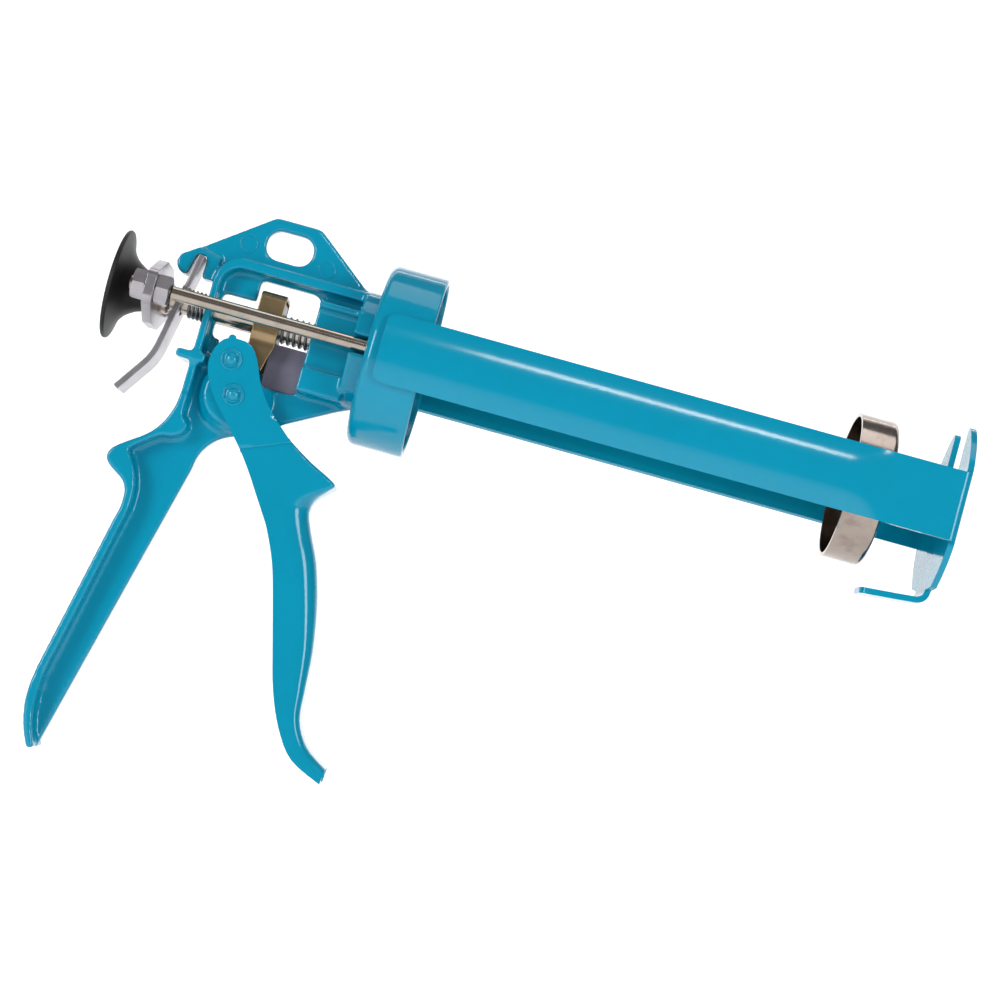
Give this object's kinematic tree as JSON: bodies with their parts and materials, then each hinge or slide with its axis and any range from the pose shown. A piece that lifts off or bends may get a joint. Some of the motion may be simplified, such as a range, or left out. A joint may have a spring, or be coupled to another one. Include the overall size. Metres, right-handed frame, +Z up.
{
  "type": "caulking gun",
  "caption": "Hand-held cartridge dispensing gun with an open two-strap cradle, three push rods joined at the rear, squeeze trigger, release lever and hanging slot.",
  "frame": {"origin": "on the barrel axis at the rear face of the collar", "axes": "+X forward along the barrel towards the nozzle, +Z up, +Y to the left side"},
  "size_m": [0.3096, 0.0704, 0.205],
  "materials": {
    "handle_casting": "gloss powder coat",
    "window_guard": "zinc plated",
    "pivot_rivet": "gloss powder coat",
    "retaining_plate": "zinc plated",
    "retaining_screw_1": "zinc plated",
    "retaining_screw_2": "zinc plated",
    "retaining_screw_3": "zinc plated",
    "retaining_screw_4": "zinc plated",
    "collar": "gloss powder coat",
    "friction_ring": "plain",
    "strap_left": "gloss powder coat",
    "strap_right": "gloss powder coat",
    "front_plate": "gloss powder coat",
    "trigger": "gloss powder coat",
    "drive_rivet": "gloss powder coat",
    "drive_roller": "zinc plated",
    "drive_saddle": "yellow passivated",
    "grip_plate_1": "zinc plated",
    "grip_plate_2": "zinc plated",
    "grip_plate_3": "zinc plated",
    "drive_spring": "oiled spring wire",
    "release_lever": "zinc plated",
    "release_spring": "oiled spring wire",
    "centre_rod": "bright drawn",
    "side_rod_left": "bright drawn",
    "side_rod_right": "bright drawn",
    "rear_yoke": "zinc plated",
    "yoke_nut_rear_left": "zinc plated",
    "yoke_nut_rear_right": "zinc plated",
    "yoke_nut_front_left": "zinc plated",
    "yoke_nut_front_right": "zinc plated",
    "rod_shoulder": "zinc plated",
    "thumb_pad": "matt moulded",
    "pusher_cup": "nickel plated",
    "cup_nut_left": "zinc plated",
    "cup_nut_right": "zinc plated",
    "inner_pusher": "zinc plated",
    "inner_pusher_nut": "zinc plated"
  },
  "bodies": {
    "handle": {"handle_casting": "handle_casting", "window_guard": "window_guard", "pivot_rivet": "pivot_rivet", "retaining_plate": "retaining_plate", "retaining_screw_1": "retaining_screw_1", "retaining_screw_2": "retaining_screw_2", "retaining_screw_3": "retaining_screw_3", "retaining_screw_4": "retaining_screw_4"},
    "cradle": {"collar": "collar", "friction_ring": "friction_ring", "strap_left": "strap_left", "strap_right": "strap_right", "front_plate": "front_plate"},
    "trigger": {"trigger": "trigger", "drive_rivet": "drive_rivet", "drive_roller": "drive_roller"},
    "drive": {"drive_saddle": "drive_saddle", "grip_plate_1": "grip_plate_1", "grip_plate_2": "grip_plate_2", "grip_plate_3": "grip_plate_3", "drive_spring": "drive_spring"},
    "lever": {"release_lever": "release_lever", "release_spring": "release_spring"},
    "plunger": {"centre_rod": "centre_rod", "side_rod_left": "side_rod_left", "side_rod_right": "side_rod_right", "rear_yoke": "rear_yoke", "yoke_nut_rear_left": "yoke_nut_rear_left", "yoke_nut_rear_right": "yoke_nut_rear_right", "yoke_nut_front_left": "yoke_nut_front_left", "yoke_nut_front_right": "yoke_nut_front_right", "rod_shoulder": "rod_shoulder", "thumb_pad": "thumb_pad", "pusher_cup": "pusher_cup", "cup_nut_left": "cup_nut_left", "cup_nut_right": "cup_nut_right", "inner_pusher": "inner_pusher", "inner_pusher_nut": "inner_pusher_nut"}
  },
  "joints": [
    {"name": "cradle_turn", "type": "hinge", "parent": "handle", "child": "cradle", "pos_m": [0, 0, 0], "axis": [1, 0, 0], "continuous": true},
    {"name": "trigger_squeeze", "type": "hinge", "parent": "handle", "child": "trigger", "pos_m": [-0.0418, 0, -0.0281], "axis": [0, 1, 0], "range_deg": [0, 28], "stiffness_Nm_per_rad": 0.6, "springref_deg": -28.65},
    {"name": "saddle_stroke", "type": "slide", "parent": "handle", "child": "drive", "axis": [1, 0, 0], "range_m": [0, 0.0065], "deforming": ["drive_spring"]},
    {"name": "plunger_travel", "type": "slide", "parent": "handle", "child": "plunger", "axis": [1, 0, 0], "range_m": [-0.165, 0]},
    {"name": "lever_press", "type": "hinge", "parent": "handle", "child": "lever", "pos_m": [-0.0665, 0, 0.016], "axis": [0, 1, 0], "range_deg": [-5, 0], "stiffness_Nm_per_rad": 0.4, "springref_deg": 17.19, "deforming": ["release_spring"]}
  ],
  "couplings": [
    {"joint": "saddle_stroke", "follows": "trigger_squeeze", "m_per_rad": 0.0125}
  ]
}
